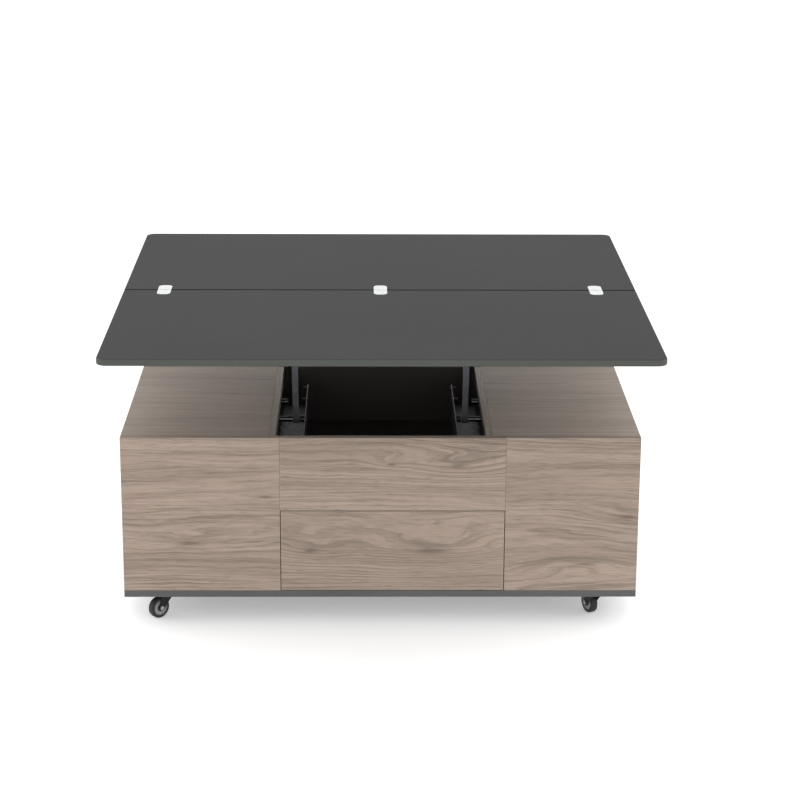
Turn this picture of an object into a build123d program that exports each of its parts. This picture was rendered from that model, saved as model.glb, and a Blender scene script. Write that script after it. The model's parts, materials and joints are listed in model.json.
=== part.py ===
from build123d import *
import math
import os

# Lift top coffee table on casters, in millimetres.
# +X is to the right seen from the front, +Y to the back, +Z up. The origin is on the floor under the
# middle of the table. The top stands raised and unfolded, and the drawer is closed.
# The top lowers on two pairs of parallel arms, and its rear leaf folds over onto the front leaf.

# ---- carcass ----
BODY_HALF_WIDTH = 588.0
BODY_HALF_DEPTH = 299.0
CASTER_HEIGHT = 68.0
BASE_THICK = 16.0
BODY_HEIGHT = 384.0
BOARD = 16.0
FRONT_BOARD = 18.0
EDGE = 0.6
OPENING_HALF_WIDTH = 237.5
FLOOR_DEPTH = 140.0
LEFT_SEAM = -228.5
RIGHT_SEAM = 283.0
SEAM_GAP = 1.6
FIXED_SEAM_GAP = 0.3
MIDDLE_SEAM_Z = 277.7
MIDDLE_SEAM_GAP = 1.5
STILE_WIDTH = 30.0
DRAWER_REVEAL = 1.0
BODY_CLEARANCE = 0.5

# ---- top ----
LEAF_HALF_WIDTH = 600.0
LEAF_DEPTH = 600.0
LEAF_THICK = 15.0
LEAF_TOP_Z = 720.5
LEAF_HALF_GAP = 1.25
LEAF_EDGE_RADIUS = 3.0
LEAF_OUTER_CORNER = 22.0
LEAF_INNER_CORNER = 6.0

# ---- fold hinges ----
FOLD_HINGE_X = (-505.0, 0.0, 505.0)
FOLD_AXIS_RISE = 0.2
HINGE_HALF_WIDTH = 15.5
HINGE_LENGTH = 42.0
HINGE_THICK = 3.0
HINGE_CORNER = 12.0
HINGE_HALF_GAP = 0.2
KNUCKLE_RADIUS = 2.2
KNUCKLE_MIDDLE = 5.0
KNUCKLE_END = 15.0
KNUCKLE_CLEARANCE = 0.3
FOLD_PIN_RADIUS = 1.2
FIT = 0.05

# ---- lift mechanism: distances from the table's middle plane, and pivots in Y and Z ----
ARM_LENGTH = 230.0
ARM_RAISED_ANGLE = 108.73
ARM_WIDTH = 20.0
ARM_WALL = 2.0
PIVOT_Z = 436.0
FRONT_PIVOT_Y = -104.0
REAR_PIVOT_Y = 36.0
PIN_RADIUS = 4.0
PIN_HEAD_RADIUS = 6.5
PIN_HEAD = 1.3
OPEN_PIVOT_CLEARANCE = 0.2
PLAY = 0.6
INNER_FLANGE = (174.0, 176.0)
OUTER_FLANGE = (235.5, 237.5)
FRONT_ARM = (190.5, 203.5)
RAIL_PLATE = (204.5, 207.5)
REAR_ARM = (209.0, 219.0)
CHANNEL_FRONT = -272.0
CHANNEL_FLAT_END = 150.0
CHANNEL_BACK = 215.0
CHANNEL_BOTTOM = 380.0
CHANNEL_TOP = 446.0
CHANNEL_TAIL_Z = 418.0
CHANNEL_CORNER = 8.0
STEEL = 2.0
# centres of the anchor rods in Y and Z
ANCHOR_RODS = ((60.0, 436.0), (170.0, 432.0))
ANCHOR_ROD_RADIUS = 2.0
ANCHOR_HEAD_RADIUS = 3.5
ANCHOR_ROD_END = 187.6
SPRING_RADIUS = 6.9
SPRING_WIRE = 1.1
SPRING_LEG_WIRE = 1.0
SPRING_PITCH = 2.7
SPRING_TURNS = 4
SPRING_START = 177.9
SPRING_LEG = 52.0
RAIL_FLANGE = (180.0, 232.0)
RAIL_FLANGE_Y = (-282.0, -30.0)
RAIL_FLANGE_THICK = 2.5

# ---- drawer ----
DRAWER_HALF_WIDTH = 222.0
DRAWER_SIDE = 12.0
DRAWER_BOTTOM = 5.0
DRAWER_BOTTOM_Z = 95.0
DRAWER_SIDE_HEIGHT = 120.0
DRAWER_LENGTH = 480.0
RUNNER_Z = 150.0
RUNNER_HEIGHT = 22.0
RUNNER_BAR = 6.0
RUNNER_BAR_HEIGHT = 10.0
ROLLER_END_GAP = 1.0
RUNNER_SHEET = 1.5
RUNNER_INNER = 224.5
RUNNER_LENGTH = 470.0
RUNNER_START = -276.0
ROLLER_CLEARANCE = 0.2
ROLLER_INSET = 14.0

# ---- casters ----
WHEEL_RADIUS = 25.0
WHEEL_HALF_WIDTH = 8.5
TREAD_ROUND = 4.0
HUB_OUTER = 18.0
HUB_INNER = 8.5
HUB_RECESS = 2.0
CASTER_TRAIL = 20.0
LEG_GAP = 1.0
LEG_THICK = 2.2
AXLE_RADIUS = 3.0
AXLE_HEAD = 5.0
AXLE_HEAD_THICK = 2.0
LEG_EYE_RADIUS = 7.5
LEG_WIDTH = 26.0
LEG_SHOULDER = 10.0
CROWN_OFFSET = 2.0
CROWN_LENGTH = 34.0
CROWN_CORNER = 5.0
CROWN_BOTTOM = 55.5
CROWN_TOP = 58.5
PLATE_THICK = 2.5
PLATE_HALF_SIZE = 28.0
PLATE_CORNER = 5.0
RACE_RADIUS = 15.0
RACE_ROUND = 2.5
RACE_BOTTOM = 59.0
KINGPIN_RADIUS = 4.0
KINGPIN_HEAD = 6.5
KINGPIN_BOTTOM = 52.5
CASTER_X = 499.0
CASTER_Y = 239.0
# name, side in X, side in Y, direction in which the wheel trails
CASTERS = (
    ("front_left", -1, -1, 221.0),
    ("front_right", 1, -1, 116.0),
    ("rear_left", -1, 1, 205.0),
    ("rear_right", 1, 1, 160.0),
)

# ---- screws ----
WOOD_SCREW_RADIUS = 2.0
SCREW_HEAD_RADIUS = 4.0
SCREW_HEAD = 1.8
SCREW_HEAD_ROUND = 0.8
CROSS_WIDTH = 0.9
CARCASS_SCREW_Y = (-200.0, 0.0, 200.0)
CARCASS_SCREW_LENGTH = 40.0
CHANNEL_SCREW_Y = (-240.0, -50.0, 150.0)
CHANNEL_SCREW_Z = 398.0
CHANNEL_SCREW_LENGTH = 14.0
RAIL_SCREW_Y = (-262.0, -160.0, -56.0)
RAIL_SCREW_INSET = 5.5
RAIL_SCREW_LENGTH = 11.0
CASTER_SCREW_SPACING = 42.0
CASTER_SCREW_LENGTH = 12.0
DRAWER_SCREW_INSET = 25.0
DRAWER_SCREW_LENGTH = 30.0
HINGE_SCREW_X = 8.5
HINGE_SCREW_Y = 26.0
HINGE_SCREW_RADIUS = 1.5
HINGE_SCREW_LENGTH = 10.0
SUNK_HEAD_RADIUS = 3.0
SUNK_HEAD = 1.6
SUNK_CROSS_DEPTH = 0.8

# how far a cutting tool runs past the face it cuts, and how near an edge lies to the place it is sought
CUT_OVER = 1.0
SEEK = 1.0

BODY_BOTTOM = CASTER_HEIGHT
CARCASS_FLOOR = BODY_BOTTOM + BASE_THICK
BODY_TOP = BODY_BOTTOM + BODY_HEIGHT
FRONT_BACK_Y = -BODY_HALF_DEPTH + FRONT_BOARD
BACK_FRONT_Y = BODY_HALF_DEPTH - BOARD
FLOOR_TOP = BODY_TOP - FLOOR_DEPTH
LEAF_BOTTOM_Z = LEAF_TOP_Z - LEAF_THICK
FOLD_AXIS_Z = LEAF_TOP_Z + FOLD_AXIS_RISE
ARM_ALONG = math.radians(ARM_RAISED_ANGLE)
ARM_REACH_Y = ARM_LENGTH * math.cos(ARM_ALONG)
ARM_REACH_Z = ARM_LENGTH * math.sin(ARM_ALONG)
UPPER_PIVOT_Z = PIVOT_Z + ARM_REACH_Z
FRONT_UPPER_Y = FRONT_PIVOT_Y + ARM_REACH_Y
REAR_UPPER_Y = REAR_PIVOT_Y + ARM_REACH_Y
SIDES = (("left", -1), ("right", 1))

os.makedirs("parts", exist_ok=True)


def save(name, solids):
    """Write one named piece, or a group of identical separate pieces."""
    shape = solids[0] if len(solids) == 1 else Compound(children=list(solids))
    export_step(shape, f"parts/{name}.step")


def block(x_span, y_span, z_span):
    """A plain box between two limits on each axis."""
    size = [span[1] - span[0] for span in (x_span, y_span, z_span)]
    centre = [(span[0] + span[1]) / 2 for span in (x_span, y_span, z_span)]
    return Pos(*centre) * Box(*size)


def board(x_span, y_span, z_span):
    """A board whose edges are broken by a small chamfer."""
    plain = block(x_span, y_span, z_span)
    return chamfer(plain.edges(), EDGE)


def mirrored(side, near, far):
    """The span in X between two distances from the middle plane, on one side of the table."""
    return tuple(sorted((side * near, side * far)))


def slab(profile, side, near, far):
    """A profile drawn in Y and Z, as thick as the gap between two distances from the middle plane."""
    low, high = mirrored(side, near, far)
    return extrude(Plane.YZ.offset(low) * profile, amount=high - low)


def rod(side, near, far, y, z, radius):
    """A round bar along X between two distances from the middle plane."""
    return slab(Pos(y, z) * Circle(radius), side, near, far)


def upright(x, y, z_low, z_high, radius):
    """A round bar along Z."""
    return Pos(x, y, (z_low + z_high) / 2) * Cylinder(radius, z_high - z_low)


def wood_screw(length):
    """A pan head screw at the origin, its head standing above z = 0 and its shank below."""
    head = Pos(0, 0, SCREW_HEAD / 2) * Cylinder(SCREW_HEAD_RADIUS, SCREW_HEAD)
    head = fillet(head.edges().group_by(Axis.Z)[-1], SCREW_HEAD_ROUND)
    shank = Pos(0, 0, -length / 2) * Cylinder(WOOD_SCREW_RADIUS, length)
    cross = Box(SCREW_HEAD_RADIUS, CROSS_WIDTH, SCREW_HEAD)
    cross += Box(CROSS_WIDTH, SCREW_HEAD_RADIUS, SCREW_HEAD)
    return head + shank - Pos(0, 0, SCREW_HEAD) * cross


# ---------------------------------------------------------------- carcass
def make_carcass():
    inside_y = (FRONT_BACK_Y, BACK_FRONT_Y)
    wall_z = (CARCASS_FLOOR, BODY_TOP - BOARD)
    front_y = (-BODY_HALF_DEPTH, FRONT_BACK_Y)
    front_z = (CARCASS_FLOOR, BODY_TOP)
    partition_outer = OPENING_HALF_WIDTH + BOARD

    full_width = (-BODY_HALF_WIDTH, BODY_HALF_WIDTH)
    full_depth = (-BODY_HALF_DEPTH, BODY_HALF_DEPTH)
    save("base_plate", [board(full_width, full_depth, (BODY_BOTTOM, CARCASS_FLOOR))])
    save("back_panel", [board(full_width, (BACK_FRONT_Y, BODY_HALF_DEPTH), front_z)])
    for name, side in SIDES:
        end_x = mirrored(side, BODY_HALF_WIDTH - BOARD, BODY_HALF_WIDTH)
        save(f"{name}_end_panel", [board(end_x, inside_y, wall_z)])
        top_x = mirrored(side, partition_outer, BODY_HALF_WIDTH)
        save(f"{name}_top_panel", [board(top_x, inside_y, (BODY_TOP - BOARD, BODY_TOP))])
        wall_x = mirrored(side, OPENING_HALF_WIDTH, partition_outer)
        save(f"{name}_partition", [board(wall_x, inside_y, front_z)])

    floor_x = (-OPENING_HALF_WIDTH, OPENING_HALF_WIDTH)
    save("compartment_floor", [block(floor_x, inside_y, (FLOOR_TOP - BOARD, FLOOR_TOP))])

    half_gap = SEAM_GAP / 2
    left_x = (-BODY_HALF_WIDTH, LEFT_SEAM - half_gap)
    right_x = (RIGHT_SEAM + half_gap, BODY_HALF_WIDTH)
    save("left_front_panel", [board(left_x, front_y, front_z)])
    save("right_front_panel", [board(right_x, front_y, front_z)])
    upper_x = (left_x[1] + FIXED_SEAM_GAP, right_x[0] - FIXED_SEAM_GAP)
    upper_z = (MIDDLE_SEAM_Z + MIDDLE_SEAM_GAP / 2, BODY_TOP)
    save("upper_front_panel", [board(upper_x, front_y, upper_z)])

    stile_x = (partition_outer, partition_outer + STILE_WIDTH)
    stile_y = (FRONT_BACK_Y + BODY_CLEARANCE, FRONT_BACK_Y + BOARD)
    save("drawer_stile", [board(stile_x, stile_y, wall_z)])

    screws = []
    for x in (partition_outer - BOARD / 2, BODY_HALF_WIDTH - BOARD / 2):
        for side in (-1, 1):
            for y in CARCASS_SCREW_Y:
                turned = Pos(side * x, y, BODY_BOTTOM + SCREW_HEAD) * Rot(180, 0, 0)
                screws.append(turned * wood_screw(CARCASS_SCREW_LENGTH))
    save("carcass_screws", screws)


# ---------------------------------------------------------------- lift mechanism
def arm(side, span, pivot_y):
    """A folded steel arm: a U section with its web to the front, bored at both ends."""
    centre = Pos(pivot_y + ARM_REACH_Y / 2, PIVOT_Z + ARM_REACH_Z / 2) * Rot(0, 0, ARM_RAISED_ANGLE)
    outline = centre * SlotCenterToCenter(ARM_LENGTH, ARM_WIDTH)
    hollow = centre * Pos(0, -ARM_WALL) * Rectangle(ARM_LENGTH + 2 * ARM_WIDTH, ARM_WIDTH)
    body = slab(outline, side, *span)
    body -= slab(hollow, side, span[0] + ARM_WALL, span[1] - ARM_WALL)
    body -= rod(side, span[0] - CUT_OVER, span[1] + CUT_OVER, pivot_y, PIVOT_Z, PIN_RADIUS + FIT)
    return body


def upper_bore(side, span, pivot_y, clearance):
    """The tool that bores an arm's upper end."""
    upper_y = pivot_y + ARM_REACH_Y
    return rod(side, span[0] - CUT_OVER, span[1] + CUT_OVER, upper_y, UPPER_PIVOT_Z, PIN_RADIUS + clearance)


def channel(side):
    """The U channel screwed to the partition; its flanges carry the arms' lower pivots."""
    corners = [
        (CHANNEL_FRONT, CHANNEL_BOTTOM),
        (CHANNEL_FRONT, CHANNEL_TOP),
        (CHANNEL_FLAT_END, CHANNEL_TOP),
        (CHANNEL_BACK, CHANNEL_TAIL_Z),
        (CHANNEL_BACK, CHANNEL_BOTTOM),
    ]
    flange = make_face(Polyline(*corners, close=True))
    upper = [vertex for vertex in flange.vertices() if vertex.Y > CHANNEL_BOTTOM + SEEK]
    flange = fillet(upper, CHANNEL_CORNER)
    body = slab(flange, side, *INNER_FLANGE) + slab(flange, side, *OUTER_FLANGE)
    body += block(
        mirrored(side, INNER_FLANGE[0], OUTER_FLANGE[1]),
        (CHANNEL_FRONT, CHANNEL_BACK),
        (CHANNEL_BOTTOM, CHANNEL_BOTTOM + STEEL),
    )
    inner, outer = INNER_FLANGE[0] - CUT_OVER, OUTER_FLANGE[1] + CUT_OVER
    body -= rod(side, inner, outer, FRONT_PIVOT_Y, PIVOT_Z, PIN_RADIUS)
    body -= rod(side, REAR_ARM[1], outer, REAR_PIVOT_Y, PIVOT_Z, PIN_RADIUS)
    for y, z in ANCHOR_RODS:
        body -= rod(side, INNER_FLANGE[0] - CUT_OVER, INNER_FLANGE[1] + CUT_OVER, y, z, ANCHOR_ROD_RADIUS)
    return body


def base_pins(side):
    """The front pin crosses the whole channel; the rear pin stands on the outer flange only."""
    front = rod(side, INNER_FLANGE[0], OUTER_FLANGE[1], FRONT_PIVOT_Y, PIVOT_Z, PIN_RADIUS)
    front += rod(side, INNER_FLANGE[0] - PIN_HEAD, INNER_FLANGE[0], FRONT_PIVOT_Y, PIVOT_Z, PIN_HEAD_RADIUS)
    front += rod(side, FRONT_ARM[1] + PLAY, OUTER_FLANGE[0], FRONT_PIVOT_Y, PIVOT_Z, PIN_HEAD_RADIUS)
    tip = REAR_ARM[0] - PLAY / 2
    rear = rod(side, tip, OUTER_FLANGE[1], REAR_PIVOT_Y, PIVOT_Z, PIN_RADIUS)
    rear += rod(side, tip - PIN_HEAD, tip, REAR_PIVOT_Y, PIVOT_Z, PIN_HEAD_RADIUS)
    rear += rod(side, REAR_ARM[1] + PLAY, OUTER_FLANGE[0], REAR_PIVOT_Y, PIVOT_Z, PIN_HEAD_RADIUS)
    return [front, rear]


def anchor_pins(side):
    """Short rods riveted in the inner flange behind the spring."""
    pins = []
    for y, z in ANCHOR_RODS:
        pin = rod(side, INNER_FLANGE[0], ANCHOR_ROD_END, y, z, ANCHOR_ROD_RADIUS)
        pin += rod(side, INNER_FLANGE[0] - PIN_HEAD, INNER_FLANGE[0], y, z, ANCHOR_HEAD_RADIUS)
        pins.append(pin)
    return pins


def assist_spring(side):
    """A torsion spring wound round the front pin, its fixed leg standing on the channel's web."""
    height = SPRING_PITCH * SPRING_TURNS
    coil = Helix(pitch=SPRING_PITCH, height=height, radius=SPRING_RADIUS)
    section = Plane(origin=coil @ 0, z_dir=coil % 0) * Circle(SPRING_WIRE)
    wire = sweep(section, path=coil, is_frenet=True)
    start = coil @ 0 + Vector(0, SPRING_WIRE, 0)
    leg = extrude(Plane(origin=start, z_dir=(0, -1, 0)) * Circle(SPRING_LEG_WIRE), amount=SPRING_LEG)
    wound = Rot(0, 90, 0) * (wire + leg)
    wound = Pos(SPRING_START, FRONT_PIVOT_Y, PIVOT_Z) * Rot(90, 0, 0) * wound
    return wound if side > 0 else mirror(wound, about=Plane.YZ)


def upper_rail(side):
    """The bracket under the top: a flange on the board and a plate that carries the upper pivots."""
    eye = ARM_WIDTH / 2
    top = LEAF_BOTTOM_Z - RAIL_FLANGE_THICK
    eyes = Pos(FRONT_UPPER_Y, UPPER_PIVOT_Z) * Circle(eye)
    eyes += Pos(REAR_UPPER_Y, UPPER_PIVOT_Z) * Circle(eye)
    shoulder_y = (FRONT_UPPER_Y + REAR_UPPER_Y) / 2
    shoulder = Pos(shoulder_y, top - eye) * Rectangle(REAR_UPPER_Y - FRONT_UPPER_Y, 2 * eye)
    plate = make_hull(eyes.edges() + shoulder.edges())
    body = slab(plate, side, *RAIL_PLATE)
    flange = block(mirrored(side, *RAIL_FLANGE), RAIL_FLANGE_Y, (top, LEAF_BOTTOM_Z))
    flange = fillet(flange.edges().filter_by(Axis.Z), CHANNEL_CORNER)
    body += flange
    for y in (FRONT_UPPER_Y, REAR_UPPER_Y):
        body -= rod(side, RAIL_PLATE[0] - CUT_OVER, RAIL_PLATE[1] + CUT_OVER, y, UPPER_PIVOT_Z, PIN_RADIUS)
    return body


def upper_pins(side):
    """The pins riveted in the bracket: one towards the front arm, one towards the rear arm."""
    inner_tip = FRONT_ARM[0] - PLAY
    front = rod(side, inner_tip, RAIL_PLATE[1], FRONT_UPPER_Y, UPPER_PIVOT_Z, PIN_RADIUS)
    front += rod(side, inner_tip - PIN_HEAD, inner_tip, FRONT_UPPER_Y, UPPER_PIVOT_Z, PIN_HEAD_RADIUS)
    outer_tip = REAR_ARM[1] + PLAY
    rear = rod(side, RAIL_PLATE[0], outer_tip, REAR_UPPER_Y, UPPER_PIVOT_Z, PIN_RADIUS)
    rear += rod(side, outer_tip, outer_tip + PIN_HEAD, REAR_UPPER_Y, UPPER_PIVOT_Z, PIN_HEAD_RADIUS)
    return [front, rear]


def make_lift():
    base, anchors, springs, uppers = [], [], [], []
    channel_screws, rail_screws = [], []
    rail_screw_z = LEAF_BOTTOM_Z - RAIL_FLANGE_THICK
    for name, side in SIDES:
        front = arm(side, FRONT_ARM, FRONT_PIVOT_Y)
        front -= upper_bore(side, FRONT_ARM, FRONT_PIVOT_Y, OPEN_PIVOT_CLEARANCE)
        rear = arm(side, REAR_ARM, REAR_PIVOT_Y)
        rear -= upper_bore(side, REAR_ARM, REAR_PIVOT_Y, FIT)
        save(f"front_arm_{name}", [front])
        save(f"rear_arm_{name}", [rear])
        save(f"lift_channel_{name}", [channel(side)])
        save(f"upper_rail_{name}", [upper_rail(side)])
        base += base_pins(side)
        anchors += anchor_pins(side)
        uppers += upper_pins(side)
        springs.append(assist_spring(side))
        for y in CHANNEL_SCREW_Y:
            turned = Pos(side * OUTER_FLANGE[0], y, CHANNEL_SCREW_Z) * Rot(0, -90 * side, 0)
            channel_screws.append(turned * wood_screw(CHANNEL_SCREW_LENGTH))
        for y in RAIL_SCREW_Y:
            for x in (RAIL_FLANGE[0] + RAIL_SCREW_INSET, RAIL_FLANGE[1] - RAIL_SCREW_INSET):
                turned = Pos(side * x, y, rail_screw_z) * Rot(180, 0, 0)
                rail_screws.append(turned * wood_screw(RAIL_SCREW_LENGTH))
    save("base_pivot_pins", base)
    save("spring_anchor_pins", anchors)
    save("lift_springs", springs)
    save("upper_pivot_pins", uppers)
    save("channel_screws", channel_screws)
    save("rail_screws", rail_screws)


# ---------------------------------------------------------------- top
def uprights(body, y):
    """The upright edges of a board that stand at one distance in Y."""
    return [edge for edge in body.edges().filter_by(Axis.Z) if abs(edge.center().Y - y) < SEEK]


def leaf(back):
    """One leaf; back is -1 for the front leaf and +1 for the rear leaf."""
    y_near = back * LEAF_HALF_GAP
    y_far = back * (LEAF_HALF_GAP + LEAF_DEPTH)
    body = block((-LEAF_HALF_WIDTH, LEAF_HALF_WIDTH), sorted((y_near, y_far)), (LEAF_BOTTOM_Z, LEAF_TOP_Z))
    body = fillet(uprights(body, y_far), LEAF_OUTER_CORNER)
    body = fillet(uprights(body, y_near), LEAF_INNER_CORNER)
    rims = body.faces().sort_by(Axis.Z)
    body = fillet(rims[-1].edges() + rims[0].edges(), LEAF_EDGE_RADIUS)
    for x in FOLD_HINGE_X:
        body -= hinge_outline(x, back)
    return body


def hinge_outline(x, back):
    """The outline of a hinge plate, and of the mortise that it fills."""
    y_far = back * (LEAF_HALF_GAP + HINGE_LENGTH)
    x_span = (x - HINGE_HALF_WIDTH, x + HINGE_HALF_WIDTH)
    y_span = sorted((back * HINGE_HALF_GAP, y_far))
    body = block(x_span, y_span, (LEAF_TOP_Z - HINGE_THICK, LEAF_TOP_Z))
    return fillet(uprights(body, y_far), HINGE_CORNER)


def on_fold_axis(low, high, radius):
    """A round bar on the axis about which the rear leaf folds."""
    return slab(Pos(0, FOLD_AXIS_Z) * Circle(radius), 1, low, high)


def outer_knuckles(x, inner, outer, radius):
    """Two bars on the fold axis, as far to the left of a hinge's middle as to the right of it."""
    return on_fold_axis(x - outer, x - inner, radius) + on_fold_axis(x + inner, x + outer, radius)


def hinge_plate(x, back):
    """The front plate carries the two outer knuckles, and the rear plate the middle one."""
    body = hinge_outline(x, back)
    inner = KNUCKLE_MIDDLE + KNUCKLE_CLEARANCE
    notch = KNUCKLE_RADIUS + KNUCKLE_CLEARANCE
    if back < 0:
        body -= on_fold_axis(x - inner, x + inner, notch)
        body += outer_knuckles(x, inner, KNUCKLE_END, KNUCKLE_RADIUS)
        body -= fold_pin(x)
    else:
        body -= outer_knuckles(x, KNUCKLE_MIDDLE, HINGE_HALF_WIDTH + CUT_OVER, notch)
        body += on_fold_axis(x - KNUCKLE_MIDDLE, x + KNUCKLE_MIDDLE, KNUCKLE_RADIUS)
        body -= on_fold_axis(x - inner, x + inner, FOLD_PIN_RADIUS + FIT)
    for place in hinge_screw_places(x, back):
        body -= place * sunk_screw_outline()
    return body


def fold_pin(x):
    return on_fold_axis(x - KNUCKLE_END, x + KNUCKLE_END, FOLD_PIN_RADIUS)


def hinge_screw_places(x, back):
    return [Pos(x + side * HINGE_SCREW_X, back * HINGE_SCREW_Y, LEAF_TOP_Z) for side in (-1, 1)]


def sunk_screw_outline():
    """A countersunk screw at the origin, its head level with z = 0."""
    head = Pos(0, 0, -SUNK_HEAD / 2) * Rot(180, 0, 0) * Cone(SUNK_HEAD_RADIUS, HINGE_SCREW_RADIUS, SUNK_HEAD)
    return head + upright(0, 0, -HINGE_SCREW_LENGTH, -SUNK_HEAD, HINGE_SCREW_RADIUS)


def sunk_screw():
    """The same screw with the cross that a driver turns."""
    cross = Box(SUNK_HEAD_RADIUS, CROSS_WIDTH, 2 * SUNK_CROSS_DEPTH)
    cross += Box(CROSS_WIDTH, SUNK_HEAD_RADIUS, 2 * SUNK_CROSS_DEPTH)
    return sunk_screw_outline() - cross


def make_top():
    for name, back in (("front", -1), ("rear", 1)):
        save(f"{name}_leaf", [leaf(back)])
        save(f"{name}_hinge_plates", [hinge_plate(x, back) for x in FOLD_HINGE_X])
        places = [place for x in FOLD_HINGE_X for place in hinge_screw_places(x, back)]
        save(f"{name}_hinge_screws", [place * sunk_screw() for place in places])
    save("hinge_pins", [fold_pin(x) for x in FOLD_HINGE_X])


# ---------------------------------------------------------------- drawer
def drawer_member(side):
    """The moving runner: a bar on the drawer's side with a roller at its back end."""
    near = DRAWER_HALF_WIDTH
    bar_z = (RUNNER_Z - RUNNER_BAR_HEIGHT / 2, RUNNER_Z + RUNNER_BAR_HEIGHT / 2)
    bar_y = (FRONT_BACK_Y, RUNNER_START + RUNNER_LENGTH)
    body = block(mirrored(side, near, near + RUNNER_BAR), bar_y, bar_z)
    roller = RUNNER_HEIGHT / 2 - RUNNER_SHEET - ROLLER_CLEARANCE
    roller_y = bar_y[1] - ROLLER_INSET
    roller_end = OPENING_HALF_WIDTH - RUNNER_SHEET - ROLLER_END_GAP
    body += rod(side, near + RUNNER_BAR, roller_end, roller_y, RUNNER_Z, roller)
    return body


def cabinet_member(side):
    """The fixed runner: a C section on the partition, open to the drawer."""
    y_span = (RUNNER_START, RUNNER_START + RUNNER_LENGTH)
    z_span = (RUNNER_Z - RUNNER_HEIGHT / 2, RUNNER_Z + RUNNER_HEIGHT / 2)
    body = block(mirrored(side, RUNNER_INNER, OPENING_HALF_WIDTH), y_span, z_span)
    hollow_z = (z_span[0] + RUNNER_SHEET, z_span[1] - RUNNER_SHEET)
    hollow_x = mirrored(side, RUNNER_INNER - CUT_OVER, OPENING_HALF_WIDTH - RUNNER_SHEET)
    return body - block(hollow_x, (y_span[0] - CUT_OVER, y_span[1] + CUT_OVER), hollow_z)


def make_drawer():
    front_back = FRONT_BACK_Y - BODY_CLEARANCE
    box_end = front_back + DRAWER_LENGTH
    side_bottom = DRAWER_BOTTOM_Z + DRAWER_BOTTOM
    side_z = (side_bottom, side_bottom + DRAWER_SIDE_HEIGHT)
    inner = DRAWER_HALF_WIDTH - DRAWER_SIDE
    front_x = (LEFT_SEAM + SEAM_GAP / 2, RIGHT_SEAM - SEAM_GAP / 2)
    front_z = (CARCASS_FLOOR + DRAWER_REVEAL, MIDDLE_SEAM_Z - MIDDLE_SEAM_GAP / 2)
    save("drawer_front", [board(front_x, (-BODY_HALF_DEPTH, front_back), front_z)])
    bottom_x = (-DRAWER_HALF_WIDTH, DRAWER_HALF_WIDTH)
    save("drawer_bottom", [block(bottom_x, (front_back, box_end), (DRAWER_BOTTOM_Z, side_z[0]))])
    save("drawer_back", [board(bottom_x, (box_end - DRAWER_SIDE, box_end), side_z)])
    screws = []
    for name, side in SIDES:
        side_x = mirrored(side, inner, DRAWER_HALF_WIDTH)
        save(f"drawer_side_{name}", [board(side_x, (front_back, box_end - DRAWER_SIDE), side_z)])
        save(f"drawer_runner_{name}", [drawer_member(side)])
        save(f"cabinet_runner_{name}", [cabinet_member(side)])
        for z in (side_z[0] + DRAWER_SCREW_INSET, side_z[1] - DRAWER_SCREW_INSET):
            turned = Pos(side * (DRAWER_HALF_WIDTH - DRAWER_SIDE / 2), box_end, z) * Rot(-90, 0, 0)
            screws.append(turned * wood_screw(DRAWER_SCREW_LENGTH))
    save("drawer_screws", screws)


# ---------------------------------------------------------------- casters
def caster_place(side_x, side_y, trail_angle):
    return Pos(side_x * CASTER_X, side_y * CASTER_Y, 0) * Rot(0, 0, trail_angle)


def caster_plate():
    """The mounting plate with its ball race and the pin that the fork turns on."""
    outline = RectangleRounded(2 * PLATE_HALF_SIZE, 2 * PLATE_HALF_SIZE, PLATE_CORNER)
    plate = extrude(Plane.XY.offset(CASTER_HEIGHT - PLATE_THICK) * outline, amount=PLATE_THICK)
    race = upright(0, 0, RACE_BOTTOM, CASTER_HEIGHT - PLATE_THICK, RACE_RADIUS)
    race = fillet(race.edges().group_by(Axis.Z)[0], RACE_ROUND)
    pin = upright(0, 0, KINGPIN_BOTTOM, RACE_BOTTOM, KINGPIN_RADIUS)
    head = upright(0, 0, KINGPIN_BOTTOM, CROWN_BOTTOM - BODY_CLEARANCE, KINGPIN_HEAD)
    return plate + race + pin + head


def caster_fork():
    """A pressed fork: a crown plate round the pin and a rounded leg each side of the wheel."""
    outer = WHEEL_HALF_WIDTH + LEG_GAP + LEG_THICK
    crown_outline = Pos(CROWN_OFFSET, 0) * RectangleRounded(CROWN_LENGTH, 2 * outer, CROWN_CORNER)
    crown = extrude(Plane.XY.offset(CROWN_BOTTOM) * crown_outline, amount=CROWN_TOP - CROWN_BOTTOM)
    eye = Pos(CASTER_TRAIL, WHEEL_RADIUS) * Circle(LEG_EYE_RADIUS)
    shoulder = Pos(CROWN_OFFSET, CROWN_TOP - LEG_SHOULDER / 2) * Rectangle(LEG_WIDTH, LEG_SHOULDER)
    leg = make_hull(eye.edges() + shoulder.edges())
    body = crown
    for low in (-outer, outer - LEG_THICK):
        body += extrude(Plane.XZ.offset(low) * leg, amount=LEG_THICK)
    body -= upright(0, 0, CROWN_BOTTOM - CUT_OVER, CROWN_TOP + CUT_OVER, KINGPIN_RADIUS + FIT)
    axle_hole = Pos(CASTER_TRAIL, WHEEL_RADIUS) * Circle(AXLE_RADIUS)
    return body - extrude(Plane.XZ.offset(-outer - CUT_OVER) * axle_hole, amount=2 * (outer + CUT_OVER))


def caster_axle():
    """The axle with a flat head outside each leg."""
    outer = WHEEL_HALF_WIDTH + LEG_GAP + LEG_THICK
    centre = Pos(CASTER_TRAIL, WHEEL_RADIUS)
    body = extrude(Plane.XZ.offset(-outer) * (centre * Circle(AXLE_RADIUS)), amount=2 * outer)
    for low in (-outer - AXLE_HEAD_THICK, outer):
        head = extrude(Plane.XZ.offset(low) * (centre * Circle(AXLE_HEAD)), amount=AXLE_HEAD_THICK)
        body += head
    return body


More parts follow.
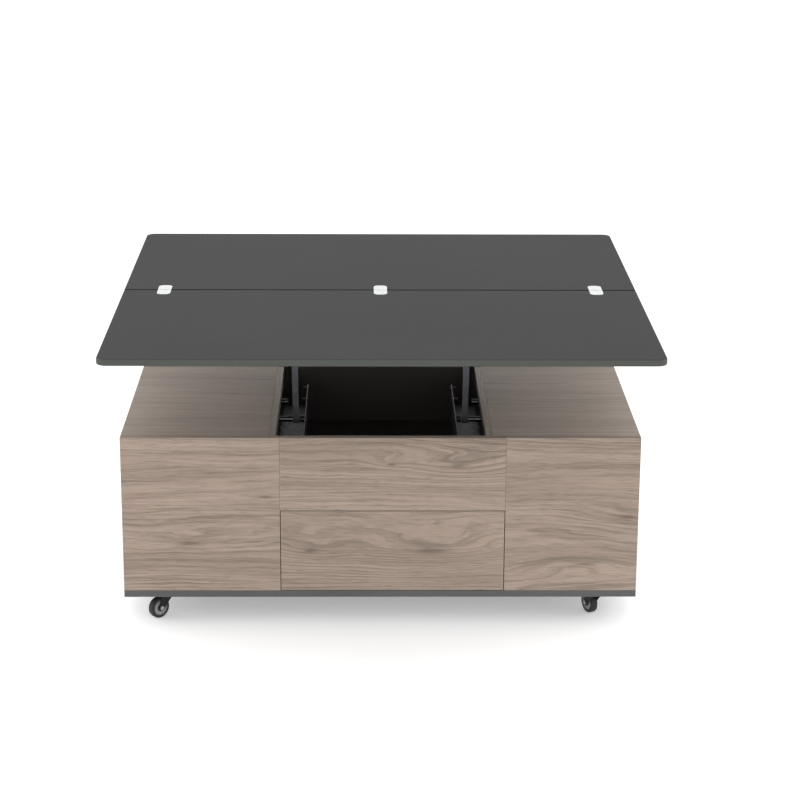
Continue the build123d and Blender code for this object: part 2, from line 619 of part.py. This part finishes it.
def caster_wheel():
    """A wheel with a rounded tread and a recessed ring on each face."""
    half = WHEEL_HALF_WIDTH
    disc = Cylinder(WHEEL_RADIUS, 2 * half)
    disc = fillet(disc.edges(), TREAD_ROUND)
    ring = Cylinder(HUB_OUTER, HUB_RECESS) - Cylinder(HUB_INNER, HUB_RECESS)
    for z in (half - HUB_RECESS / 2, -half + HUB_RECESS / 2):
        disc -= Pos(0, 0, z) * ring
    disc -= Cylinder(AXLE_RADIUS + FIT, 2 * half + 2)
    return Pos(CASTER_TRAIL, 0, WHEEL_RADIUS) * Rot(90, 0, 0) * disc


def make_casters():
    plates, screws = [], []
    for name, side_x, side_y, trail_angle in CASTERS:
        place = caster_place(side_x, side_y, trail_angle)
        square = Pos(side_x * CASTER_X, side_y * CASTER_Y, 0)
        plates.append(square * caster_plate())
        save(f"caster_fork_{name}", [place * caster_fork()])
        save(f"caster_axle_{name}", [place * caster_axle()])
        save(f"caster_wheel_{name}", [place * caster_wheel()])
        for spot in GridLocations(CASTER_SCREW_SPACING, CASTER_SCREW_SPACING, 2, 2):
            turned = spot * Pos(0, 0, CASTER_HEIGHT - PLATE_THICK) * Rot(180, 0, 0)
            screws.append(square * turned * wood_screw(CASTER_SCREW_LENGTH))
    save("caster_plates", plates)
    save("caster_screws", screws)


make_carcass()
make_lift()
make_top()
make_drawer()
make_casters()
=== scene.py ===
import json
import math
from collections import namedtuple

import bmesh
import bpy
from mathutils import Matrix, Vector


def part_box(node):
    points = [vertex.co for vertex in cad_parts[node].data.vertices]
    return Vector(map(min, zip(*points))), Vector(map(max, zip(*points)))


# Looks of the lift top coffee table, in metres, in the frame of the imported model:
# +X is to the right, +Y to the back and +Z up, with the origin on the floor under the table's middle.

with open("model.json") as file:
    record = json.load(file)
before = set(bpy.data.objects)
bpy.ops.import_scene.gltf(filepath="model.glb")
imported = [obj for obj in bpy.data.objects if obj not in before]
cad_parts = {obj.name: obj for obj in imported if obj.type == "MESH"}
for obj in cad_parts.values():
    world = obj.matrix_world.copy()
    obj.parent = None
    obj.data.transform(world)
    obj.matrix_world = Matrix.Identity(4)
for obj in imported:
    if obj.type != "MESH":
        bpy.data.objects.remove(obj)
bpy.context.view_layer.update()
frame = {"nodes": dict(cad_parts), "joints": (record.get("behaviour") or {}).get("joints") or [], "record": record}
NODES = frame["nodes"]
# how far the opening of the storage compartment reaches to either side
OPENING_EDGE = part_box("right_partition")[1].x

# ---- camera ----
CAMERA_PLACE = (-0.0382, -5.148, 2.006)
CAMERA_LENS = 101.73
CAMERA_SENSOR = 36.0
CAMERA_PITCH = math.radians(16.805)
CAMERA_YAW = math.radians(0.953)
CAMERA_ROLL = math.radians(-0.324)

# ---- stage and light ----
FLOOR_SIZE = 20.0
FLOOR_WHITE = (0.93, 0.93, 0.93)
FLOOR_GLOW = 0.30
WORLD_STRENGTH = 1.02
Softbox = namedtuple("Softbox", "place target size power")
SOFTBOXES = {
    "front_softbox": Softbox((-0.6, -4.5, 2.6), (0.0, 0.0, 0.3), (3.6, 2.4), 17.0),
    "overhead_softbox": Softbox((0.0, 0.4, 4.2), (0.0, 0.0, 0.4), (3.5, 3.5), 6.0),
    "left_softbox": Softbox((-1.9, -0.1, 1.1), (-0.4, 0.0, 0.45), (1.2, 1.2), 8.0),
    "right_softbox": Softbox((1.9, -0.1, 1.1), (0.4, 0.0, 0.45), (1.2, 1.2), 8.0),
}

# ---- finishes, as linear colour ----
WALNUT_LIGHT = (0.410, 0.324, 0.262)
WALNUT_MID = (0.325, 0.254, 0.203)
WALNUT_DARK = (0.135, 0.103, 0.081)
WALNUT_PORE = (0.075, 0.056, 0.044)
# pale walnut for the worn arrises, also mixed over the top panels as a painted sheen
WALNUT_WORN_EDGE_AND_SHEEN = (0.480, 0.400, 0.340)
WALNUT_SPECULAR = 0.25
TOP_PANEL_SPECULAR = 0.60
# the box-top panels' share of the pale edge colour: a painted sheen, standing in for the whitish glare on the tops
TOP_PANEL_PAINTED_SHEEN = 0.30
GREY_TOP = (0.040, 0.040, 0.040)
# the edge band's own colour, also used for a painted highlight on the top's sharp edges
GREY_EDGE_BAND_AND_HIGHLIGHT = (0.079, 0.084, 0.076)
GREY_BASE = (0.090, 0.090, 0.090)
GREY_BASE_EDGE = (0.16, 0.16, 0.16)
BLACK_BOARD = (0.0440, 0.0370, 0.0340)
BLACK_BOARD_EDGE = (0.03, 0.027, 0.025)
DRAWER_BOARD = (0.055, 0.052, 0.050)
DRAWER_BOARD_EDGE = (0.12, 0.11, 0.10)
BLACK_STEEL = (0.006, 0.006, 0.007)
BLACK_STEEL_WORN = (0.14, 0.135, 0.12)
GREY_STEEL = (0.088, 0.088, 0.098)
GREY_STEEL_WORN = (0.16, 0.16, 0.16)
ZINC = (0.50, 0.50, 0.51)
DARK_STEEL = (0.15, 0.15, 0.155)
SPRING_STEEL = (0.16, 0.16, 0.165)
HINGE_WHITE = (0.76, 0.77, 0.77)
CASTER_BLACK = (0.010, 0.010, 0.011)
CASTER_WORN = (0.06, 0.06, 0.06)
RUBBER_BLACK = (0.014, 0.014, 0.014)
RUBBER_SCUFFED = (0.035, 0.034, 0.032)
HUB_GREY = (0.33, 0.34, 0.32)
# painted shade in the gap along the joint of the two leaves, drawn as a near-black band: its half width, and how
# softly it ends
JOINT_PAINTED_SHADE = (0.006, 0.006, 0.006)
JOINT_SHADE_HALF_WIDTH = 0.0040
JOINT_BLUR = 0.0006
# the recessed ring on each face of a wheel, as distances from the axle, and how softly it ends
HUB_RING = (0.0085, 0.0180)
HUB_BLUR = 0.0002
# how softly the black inside of the compartment ends on the back panel's top edge
OPENING_BLUR = 0.0002
# most of a noise's values lie between these two
NOISE_LOW = 0.3
NOISE_HIGH = 0.7

# ---- walnut figure ----
# waves in the growth rings: noise scale along and across the grain, swing in metres, and detail
RING_WAVES = ((1.3, 5.0, 0.100, 1.0), (4.0, 16.0, 0.030, 2.0), (14.0, 50.0, 0.006, 2.0))
RINGS_PER_METRE = 75.0
RINGS_CROWDED = 7.0
RING_LINE_DEPTH = 0.46
PORE_DEPTH = 0.45
# how far the pores sink below the fibres, as a share of the fibres' height
PORE_SINK = 0.8
# how slowly the figure changes from a board's front to its back
THROUGH_BOARD = 0.1
# a knot's dark core: its size against the knot's, and its depth
KNOT_CORE_SIZE = 0.16
KNOT_CORE_DEPTH = 0.55
# a knot: its place along and across the grain, its size along and across, and its lift of the rings
Knot = namedtuple("Knot", "place size lift")
Board = namedtuple("Board", "seed knots")
WALNUT_BOARDS = {
    "left_front_panel": Board(
        seed=(0.37, 1.10, 0.20),
        knots=(Knot((-0.262, 0.012), (0.10, 0.020), 0.016), Knot((-0.44, -0.10), (0.16, 0.030), 0.020)),
    ),
    "right_front_panel": Board(
        seed=(2.15, 0.45, 1.30),
        knots=(Knot((0.560, -0.036), (0.14, 0.035), 0.030), Knot((0.47, -0.15), (0.13, 0.022), -0.018)),
    ),
    "upper_front_panel": Board(
        seed=(4.70, 2.35, 0.65),
        knots=(Knot((0.175, 0.087), (0.11, 0.026), 0.030), Knot((0.025, 0.090), (0.05, 0.016), 0.016)),
    ),
    "drawer_front": Board(
        seed=(6.85, 0.15, 2.10),
        knots=(Knot((0.118, -0.118), (0.200, 0.042), 0.052), Knot((-0.16, -0.118), (0.09, 0.030), 0.030)),
    ),
    "left_top_panel": Board(seed=(8.30, 3.40, 1.75), knots=()),
    "right_top_panel": Board(seed=(9.95, 1.80, 3.05), knots=()),
    "back_panel": Board(
        seed=(11.2, 2.90, 0.95),
        knots=(Knot((-0.30, 0.50), (0.20, 0.05), 0.06), Knot((0.35, 0.62), (0.16, 0.04), 0.05)),
    ),
    "left_end_panel": Board(seed=(13.4, 0.75, 2.60), knots=()),
    "right_end_panel": Board(seed=(15.1, 3.65, 1.45), knots=()),
}
PARTITION_SEEDS = {"left_partition": (17.3, 2.2, 0.4), "right_partition": (19.6, 1.2, 2.4)}


# ---------------------------------------------------------------- node helpers
def times(values, factor):
    """Every part of a colour or a size multiplied by one factor."""
    return tuple(factor * value for value in values)


class Shader:
    """A material's node tree, with short calls for the nodes it is made of."""

    def __init__(self, name):
        self.material = bpy.data.materials.new(name)
        self.material.use_nodes = True
        self.tree = self.material.node_tree
        self.tree.nodes.clear()
        self.output = self.tree.nodes.new("ShaderNodeOutputMaterial")
        self.surface = self.tree.nodes.new("ShaderNodeBsdfPrincipled")
        self.link(self.surface.outputs["BSDF"], self.output.inputs["Surface"])
        self.place = self.tree.nodes.new("ShaderNodeTexCoord").outputs["Object"]

    def link(self, source, target):
        self.tree.links.new(source, target)

    def feed(self, socket, value):
        """Set a socket from a number, a tuple or another node's output."""
        if isinstance(value, bpy.types.NodeSocket):
            self.link(value, socket)
        elif isinstance(value, tuple) and len(socket.default_value) == 4:
            socket.default_value = (*value, 1.0)
        else:
            socket.default_value = value

    def math(self, operation, first, second=0.0):
        node = self.tree.nodes.new("ShaderNodeMath")
        node.operation = operation
        self.feed(node.inputs[0], first)
        self.feed(node.inputs[1], second)
        return node.outputs[0]

    def vector_math(self, operation, first, second):
        node = self.tree.nodes.new("ShaderNodeVectorMath")
        node.operation = operation
        self.feed(node.inputs[0], first)
        self.feed(node.inputs[1], second)
        return node.outputs[0]

    def scaled(self, vector, scale, offset=(0.0, 0.0, 0.0)):
        moved = self.vector_math("ADD", vector, offset)
        return self.vector_math("MULTIPLY", moved, scale)

    def noise(self, vector, scale=1.0, detail=2.0, roughness=0.5):
        node = self.tree.nodes.new("ShaderNodeTexNoise")
        self.feed(node.inputs["Vector"], vector)
        node.inputs["Scale"].default_value = scale
        node.inputs["Detail"].default_value = detail
        node.inputs["Roughness"].default_value = roughness
        return node.outputs["Fac"]

    def ramp(self, value, low, high, bottom=0.0, top=1.0):
        """Map a range of a value smoothly onto another range, held at both ends."""
        node = self.tree.nodes.new("ShaderNodeMapRange")
        node.interpolation_type = "SMOOTHSTEP"
        self.feed(node.inputs["Value"], value)
        self.feed(node.inputs["From Min"], low)
        self.feed(node.inputs["From Max"], high)
        self.feed(node.inputs["To Min"], bottom)
        self.feed(node.inputs["To Max"], top)
        return node.outputs["Result"]

    def rough_between(self, noise, smooth, rough):
        """Roughness that follows a noise."""
        return self.ramp(noise, NOISE_LOW, NOISE_HIGH, smooth, rough)

    def mix(self, factor, first, second):
        node = self.tree.nodes.new("ShaderNodeMix")
        node.data_type = "RGBA"
        self.feed(node.inputs["Factor"], factor)
        self.feed(node.inputs["A"], first)
        self.feed(node.inputs["B"], second)
        return node.outputs["Result"]

    def split(self, vector):
        node = self.tree.nodes.new("ShaderNodeSeparateXYZ")
        self.link(vector, node.inputs[0])
        return node.outputs

    def join(self, x, y, z):
        node = self.tree.nodes.new("ShaderNodeCombineXYZ")
        self.feed(node.inputs[0], x)
        self.feed(node.inputs[1], y)
        self.feed(node.inputs[2], z)
        return node.outputs[0]

    def bump(self, height, strength, distance):
        node = self.tree.nodes.new("ShaderNodeBump")
        node.inputs["Strength"].default_value = strength
        node.inputs["Distance"].default_value = distance
        self.feed(node.inputs["Height"], height)
        return node.outputs["Normal"]

    def normal(self):
        return self.tree.nodes.new("ShaderNodeNewGeometry").outputs["Normal"]

    def sharp_edge_mask(self, radius):
        """High on sharp edges: where a rounded normal leaves the true one."""
        bevel = self.tree.nodes.new("ShaderNodeBevel")
        bevel.samples = 4
        bevel.inputs["Radius"].default_value = radius
        product = self.vector_math("DOT_PRODUCT", bevel.outputs[0], self.normal())
        agreement = product.node.outputs["Value"]
        return self.ramp(agreement, 0.99, 0.86)

    def finish(self, colour, roughness, metallic=0.0, specular=0.5, normal=None):
        inputs = self.surface.inputs
        self.feed(inputs["Base Color"], colour)
        self.feed(inputs["Roughness"], roughness)
        inputs["Metallic"].default_value = metallic
        inputs["Specular IOR Level"].default_value = specular
        if normal is not None:
            self.link(normal, inputs["Normal"])
        return self.material


# ---------------------------------------------------------------- wood
def knot(shader, along, across, place, size, lift):
    """A smooth hill on the board's growth rings: the lines of the grain part and close round it."""
    off_along = shader.math("DIVIDE", shader.math("SUBTRACT", along, place[0]), size[0])
    off_across = shader.math("DIVIDE", shader.math("SUBTRACT", across, place[1]), size[1])
    square = shader.math("ADD", shader.math("POWER", off_along, 2.0), shader.math("POWER", off_across, 2.0))
    height = shader.math("DIVIDE", 1.0, shader.math("ADD", 1.0, shader.math("POWER", square, 1.5)))
    return shader.math("MULTIPLY", height, lift)


def centred_noise(shader, place, amount, detail):
    """Noise that swings by about half of amount to either side of nothing."""
    return shader.math("MULTIPLY", shader.math("SUBTRACT", shader.noise(place, detail=detail), 0.5), amount)


def walnut_colour(shader, along, across, depth, seed, knots=()):
    """Flat sawn walnut: growth rings cut by the board's face, streaks and pores along the grain."""
    moved = shader.vector_math("ADD", shader.join(along, across, depth), seed)
    rings = across
    for scale_along, scale_across, swing, detail in RING_WAVES:
        waves = shader.scaled(moved, (scale_along, scale_across, scale_across))
        rings = shader.math("ADD", rings, centred_noise(shader, waves, swing, detail))
    for place, size, lift in knots:
        rings = shader.math("ADD", rings, knot(shader, along, across, place, size, lift))

    # each ring darkens slowly and ends sharply, and its line fades in and out along the board
    spread = shader.noise(shader.scaled(moved, (0.8, 11.0, 11.0), (3.0, 0.0, 5.0)))
    count = shader.math("MULTIPLY", rings, RINGS_PER_METRE)
    saw = shader.math("FRACT", shader.math("ADD", count, shader.math("MULTIPLY", spread, RINGS_CROWDED)))
    line = shader.math("MULTIPLY", shader.ramp(saw, 0.30, 0.93), shader.ramp(saw, 0.93, 1.0, 1.0, 0.0))
    clear = shader.noise(shader.scaled(moved, (1.6, 9.0, 9.0), (1.0, 9.0, 2.0)))
    line = shader.math("MULTIPLY", line, shader.ramp(clear, 0.32, 0.68, 0.15, 1.0))

    # streaks follow the rings, while fibres and pores run straight along the board
    flow = shader.join(shader.math("ADD", along, seed[0]), shader.math("ADD", rings, seed[1]), depth)
    broad = shader.noise(shader.scaled(flow, (1.1, 17.0, 5.0)), detail=3.0, roughness=0.6)
    streak = shader.noise(shader.scaled(flow, (2.6, 95.0, 20.0)), detail=4.0, roughness=0.62)
    fine = shader.noise(shader.scaled(flow, (7.0, 330.0, 60.0)), detail=3.0, roughness=0.65)
    fibre = shader.noise(shader.scaled(moved, (18.0, 700.0, 700.0)), roughness=0.6)
    pore = shader.noise(shader.scaled(moved, (34.0, 1250.0, 1250.0)), detail=0.0)
    pore = shader.ramp(pore, 0.62, 0.78)

    colour = shader.mix(shader.ramp(broad, 0.33, 0.66), WALNUT_MID, WALNUT_LIGHT)
    colour = shader.mix(shader.math("MULTIPLY", line, RING_LINE_DEPTH), colour, WALNUT_DARK)
    colour = shader.mix(shader.ramp(streak, 0.48, 0.72, 0.0, 0.55), colour, WALNUT_DARK)
    colour = shader.mix(shader.ramp(fine, 0.48, 0.72, 0.0, 0.40), colour, WALNUT_DARK)
    colour = shader.mix(shader.ramp(fibre, 0.50, 0.80, 0.0, 0.25), colour, WALNUT_DARK)
    for place, size, _ in knots:
        core = knot(shader, along, across, place, times(size, KNOT_CORE_SIZE), KNOT_CORE_DEPTH)
        colour = shader.mix(core, colour, WALNUT_PORE)
    colour = shader.mix(shader.math("MULTIPLY", pore, PORE_DEPTH), colour, WALNUT_PORE)
    height = shader.math("SUBTRACT", fibre, shader.math("MULTIPLY", pore, PORE_SINK))
    return colour, height


def walnut(name, board, along, black_inside, on_top):
    """Laminated walnut board with its grain along one axis and worn, slightly paler arrises."""
    shader = Shader(name)
    x, y, z = shader.split(shader.place)
    if along == "Y":
        colour, height = walnut_colour(shader, y, shader.math("ADD", z, x), x, board.seed)
    else:
        across = shader.math("ADD", z, y)
        depth = shader.math("MULTIPLY", y, THROUGH_BOARD)
        colour, height = walnut_colour(shader, x, across, depth, board.seed, board.knots)
    colour = shader.mix(shader.math("MULTIPLY", shader.sharp_edge_mask(radius=0.0012), 0.55), colour, WALNUT_WORN_EDGE_AND_SHEEN)
    if black_inside:
        normal = shader.split(shader.normal())
        faces_forward = shader.ramp(normal[1], -0.5, -0.7)
        faces_up = shader.ramp(normal[2], 0.3, 0.6)
        from_middle = shader.math("ABSOLUTE", x)
        at_opening = shader.ramp(from_middle, OPENING_EDGE + OPENING_BLUR, OPENING_EDGE - OPENING_BLUR)
        upper_edge = shader.math("MULTIPLY", faces_up, at_opening)
        colour = shader.mix(shader.math("MAXIMUM", faces_forward, upper_edge), colour, BLACK_BOARD)
    # painted sheen: the top panels are drawn paler and greyer all over, standing in for the glare of light on them
    if on_top:
        colour = shader.mix(TOP_PANEL_PAINTED_SHEEN, colour, WALNUT_WORN_EDGE_AND_SHEEN)
    roughness = shader.ramp(height, 0.1, 0.8, 0.62, 0.50)
    normal = shader.bump(height, strength=0.18, distance=0.0004)
    specular = TOP_PANEL_SPECULAR if on_top else WALNUT_SPECULAR
    return shader.finish(colour, roughness, specular=specular, normal=normal)


def partition_board(name, seed):
    """Black laminate on the faces and a walnut band on the top edge."""
    shader = Shader(name)
    x, y, z = shader.split(shader.place)
    band, height = walnut_colour(shader, y, x, z, seed)
    faces_up = shader.ramp(shader.split(shader.normal())[2], 0.60, 0.70)
    speck = shader.noise(shader.place, scale=420.0, detail=3.0)
    black = shader.mix(speck, BLACK_BOARD, times(BLACK_BOARD, 1.4))
    colour = shader.mix(faces_up, black, band)
    roughness = shader.rough_between(speck, 0.40, 0.50)
    normal = shader.bump(speck, strength=0.08, distance=0.0003)
    return shader.finish(colour, roughness, specular=0.25, normal=normal)


def laminate(name, colour, edge_colour):
    """A fine pebbled laminate, faintly clouded and flecked, with rubbed edges."""
    shader = Shader(name)
    pebble = shader.noise(shader.place, scale=380.0, detail=4.0, roughness=0.6)
    cloud = shader.noise(shader.place, scale=3.2, detail=3.0)
    fleck = shader.noise(shader.place, scale=1140.0, detail=1.0)
    tone = shader.mix(shader.ramp(cloud, 0.35, 0.65), times(colour, 0.93), times(colour, 1.06))
    tone = shader.mix(shader.ramp(fleck, 0.55, 0.75, 0.0, 0.12), tone, times(colour, 1.5))
    tone = shader.mix(shader.math("MULTIPLY", shader.sharp_edge_mask(radius=0.0018), 0.7), tone, edge_colour)
    rough = shader.rough_between(pebble, 0.44, 0.52)
    normal = shader.bump(pebble, strength=0.10, distance=0.0003)
    return shader.finish(tone, rough, specular=0.35, normal=normal)


def grey_top(name):
    """The dark grey top: laminate faces, a slightly greener edge band, a painted highlight on the sharp edges, and
    painted shade along the joint.
    """
    shader = Shader(name)
    pebble = shader.noise(shader.place, scale=420.0, detail=4.0, roughness=0.6)
    cloud = shader.noise(shader.place, scale=2.6, detail=3.0)
    level = shader.math("ABSOLUTE", shader.split(shader.normal())[2])
    on_edge = shader.ramp(level, 0.92, 0.60)
    face = shader.mix(shader.ramp(cloud, 0.35, 0.65), times(GREY_TOP, 0.97), times(GREY_TOP, 1.03))
    colour = shader.mix(on_edge, face, GREY_EDGE_BAND_AND_HIGHLIGHT)
    # painted highlight: the top's sharp edges are drawn a quarter of the way towards the paler edge band colour
    colour = shader.mix(shader.math("MULTIPLY", shader.sharp_edge_mask(radius=0.0012), 0.25), colour, GREY_EDGE_BAND_AND_HIGHLIGHT)
    # painted shade: faces within a few millimetres of the joint are drawn near black, standing in for the dark gap
    # between the leaves
    from_joint = shader.math("ABSOLUTE", shader.split(shader.place)[1])
    in_painted_shade = shader.ramp(from_joint, JOINT_SHADE_HALF_WIDTH + JOINT_BLUR, JOINT_SHADE_HALF_WIDTH - JOINT_BLUR)
    colour = shader.mix(in_painted_shade, colour, JOINT_PAINTED_SHADE)
    rough = shader.rough_between(pebble, 0.50, 0.58)
    normal = shader.bump(pebble, strength=0.07, distance=0.0003)
    return shader.finish(colour, rough, specular=0.08, normal=normal)


# ---------------------------------------------------------------- metal, plastic, rubber
def powder_coat(name, colour, worn):
    """Powder coated steel: orange peel, dust and bright rubbed edges."""
    shader = Shader(name)
    peel = shader.noise(shader.place, scale=900.0, detail=2.0)
    dust = shader.noise(shader.place, scale=55.0, detail=4.0, roughness=0.65)
    wear = shader.math("MULTIPLY", shader.sharp_edge_mask(radius=0.0008), shader.ramp(dust, 0.35, 0.60))
    tone = shader.mix(shader.ramp(dust, 0.4, 0.75, 0.0, 0.30), colour, times(colour, 1.8))
    tone = shader.mix(wear, tone, worn)
    rough = shader.rough_between(dust, 0.38, 0.50)
    normal = shader.bump(peel, strength=0.12, distance=0.0002)
    return shader.finish(tone, rough, specular=0.3, normal=normal)


def bare_metal(name, colour):
    """Plated steel with turning marks and dull patches."""
    shader = Shader(name)
    marks = shader.noise(shader.scaled(shader.place, (2600.0, 500.0, 500.0)), detail=2.0)
    patch = shader.noise(shader.place, scale=160.0, detail=4.0)
    tone = shader.mix(shader.ramp(patch, 0.35, 0.7), colour, times(colour, 0.72))
    rough = shader.rough_between(patch, 0.24, 0.42)
    normal = shader.bump(marks, strength=0.12, distance=0.0001)
    return shader.finish(tone, rough, metallic=1.0, normal=normal)


def moulded_plastic(name, colour):
    """Satin moulded plastic with faint flow marks and a fine grain in its surface."""
    shader = Shader(name)
    flow = shader.noise(shader.scaled(shader.place, (90.0, 30.0, 90.0)), detail=3.0)
    grain = shader.noise(shader.place, scale=1500.0, detail=2.0)
    tone = shader.mix(shader.ramp(flow, 0.35, 0.7), colour, times(colour, 0.93))
    rough = shader.rough_between(flow, 0.30, 0.40)
    return shader.finish(tone, rough, normal=shader.bump(grain, strength=0.06, distance=0.0001))


def wheel_rubber(name, centre, axis):
    """A black tread and, in the recess of each face, a pale grey hub ring round the axle."""
    shader = Shader(name)
    scuff = shader.noise(shader.place, scale=240.0, detail=4.0)
    tone = shader.mix(shader.ramp(scuff, 0.45, 0.75, 0.0, 0.5), RUBBER_BLACK, RUBBER_SCUFFED)
    crossed = shader.vector_math("CROSS_PRODUCT", shader.vector_math("SUBTRACT", shader.place, centre), axis)
    radius = shader.vector_math("LENGTH", crossed, (0.0, 0.0, 0.0)).node.outputs["Value"]
    inner, outer = HUB_RING
    outside_inner = shader.ramp(radius, inner - HUB_BLUR, inner + HUB_BLUR)
    inside_outer = shader.ramp(radius, outer + HUB_BLUR, outer - HUB_BLUR)
    ring = shader.math("MULTIPLY", outside_inner, inside_outer)
    tone = shader.mix(ring, tone, shader.mix(scuff, HUB_GREY, times(HUB_GREY, 0.7)))
    rough = shader.rough_between(scuff, 0.42, 0.62)
    normal = shader.bump(scuff, strength=0.15, distance=0.0002)
    return shader.finish(tone, rough, specular=0.4, normal=normal)


# ---------------------------------------------------------------- dressing the CAD nodes
def dress(name, material):
    """Give a CAD node its finish."""
    materials = NODES[name].data.materials
    materials.clear()
    materials.append(material)


def nodes_of_slot(slot):
    return [part["node"] for part in frame["record"]["subparts"] if part["material_slot"] == slot]


def dress_boards():
    """The walnut boards and the partitions, each cut from its own place in the grain."""
    for name, board in WALNUT_BOARDS.items():
        along = "Y" if name.endswith("end_panel") else "X"
        black_inside = name == "back_panel"
        on_top = name.endswith("top_panel")
        dress(name, walnut(f"walnut_{name}", board, along, black_inside, on_top))
    for name, seed in PARTITION_SEEDS.items():
        dress(name, partition_board(f"board_{name}", seed))


def dress_slots():
    """The nodes whose finish is the same all through their material slot."""
    finishes = {
        "black_board": laminate("black_laminate", BLACK_BOARD, BLACK_BOARD_EDGE),
        "drawer_board": laminate("drawer_laminate", DRAWER_BOARD, DRAWER_BOARD_EDGE),
        "base_board": laminate("base_laminate", GREY_BASE, GREY_BASE_EDGE),
        "top_board": grey_top("top_laminate"),
        "black_steel": powder_coat("black_powder_coat", BLACK_STEEL, BLACK_STEEL_WORN),
        "grey_steel": powder_coat("grey_powder_coat", GREY_STEEL, GREY_STEEL_WORN),
        "pin_steel": bare_metal("zinc_plate", ZINC),
        "dark_steel": bare_metal("black_oxide", DARK_STEEL),
        "spring_steel": bare_metal("spring_wire", SPRING_STEEL),
        "hinge_white": moulded_plastic("white_moulding", HINGE_WHITE),
        "caster_black": powder_coat("caster_coat", CASTER_BLACK, CASTER_WORN),
    }
    for slot, material in finishes.items():
        for name in nodes_of_slot(slot):
            dress(name, material)


def dress_wheels():
    """Each wheel's ring is drawn round its own axle, which its rolling joint gives."""
    for joint in frame["joints"]:
        if joint["name"].startswith("roll_"):
            wheel = joint["child"].replace("wheel_", "caster_wheel_")
            dress(wheel, wheel_rubber(f"rubber_{wheel}", tuple(joint["pos_m"]), tuple(joint["axis"])))


# ---------------------------------------------------------------- stage, light and camera
def make_floor():
    mesh = bpy.data.meshes.new("floor")
    shape = bmesh.new()
    bmesh.ops.create_grid(shape, x_segments=1, y_segments=1, size=FLOOR_SIZE)
    shape.to_mesh(mesh)
    shape.free()
    floor = bpy.data.objects.new("floor", mesh)
    bpy.context.scene.collection.objects.link(floor)
    shader = Shader("floor_white")
    cloud = shader.noise(shader.place, scale=0.7, detail=2.0)
    tone = shader.mix(cloud, FLOOR_WHITE, times(FLOOR_WHITE, 0.99))
    shader.feed(shader.surface.inputs["Emission Color"], (1.0, 1.0, 1.0))
    shader.surface.inputs["Emission Strength"].default_value = FLOOR_GLOW
    floor.data.materials.append(shader.finish(tone, 0.9, specular=0.0))


def make_softbox(name, softbox):
    """A wide, soft light that points at its target and isn't seen itself."""
    lamp = bpy.data.lights.new(name, "AREA")
    lamp.shape = "RECTANGLE"
    lamp.size, lamp.size_y = softbox.size
    lamp.energy = softbox.power
    holder = bpy.data.objects.new(name, lamp)
    bpy.context.scene.collection.objects.link(holder)
    holder.location = softbox.place
    direction = Vector(softbox.target) - Vector(softbox.place)
    holder.rotation_euler = direction.to_track_quat("-Z", "Y").to_euler()
    holder.visible_camera = False


def make_light():
    world = bpy.data.worlds.new("studio")
    bpy.context.scene.world = world
    world.use_nodes = True
    backdrop = world.node_tree.nodes["Background"]
    backdrop.inputs["Color"].default_value = (1.0, 1.0, 1.0, 1.0)
    backdrop.inputs["Strength"].default_value = WORLD_STRENGTH
    for name, softbox in SOFTBOXES.items():
        make_softbox(name, softbox)


def make_camera():
    """Look along the pitch and yaw, then roll about that line."""
    forward = Vector((
        math.sin(CAMERA_YAW) * math.cos(CAMERA_PITCH),
        math.cos(CAMERA_YAW) * math.cos(CAMERA_PITCH),
        -math.sin(CAMERA_PITCH),
    ))
    level = Vector((math.cos(CAMERA_YAW), -math.sin(CAMERA_YAW), 0.0))
    down = forward.cross(level)
    right = level * math.cos(CAMERA_ROLL) + down * math.sin(CAMERA_ROLL)
    down = down * math.cos(CAMERA_ROLL) - level * math.sin(CAMERA_ROLL)
    lens = bpy.data.cameras.new("camera")
    lens.lens = CAMERA_LENS
    lens.sensor_width = CAMERA_SENSOR
    camera = bpy.data.objects.new("camera", lens)
    bpy.context.scene.collection.objects.link(camera)
    axes = Matrix((right, -down, -forward)).transposed().to_4x4()
    camera.matrix_world = Matrix.Translation(Vector(CAMERA_PLACE)) @ axes
    bpy.context.scene.camera = camera


make_camera()
make_light()
make_floor()
dress_boards()
dress_slots()
dress_wheels()

bpy.context.scene.view_settings.view_transform = "Standard"
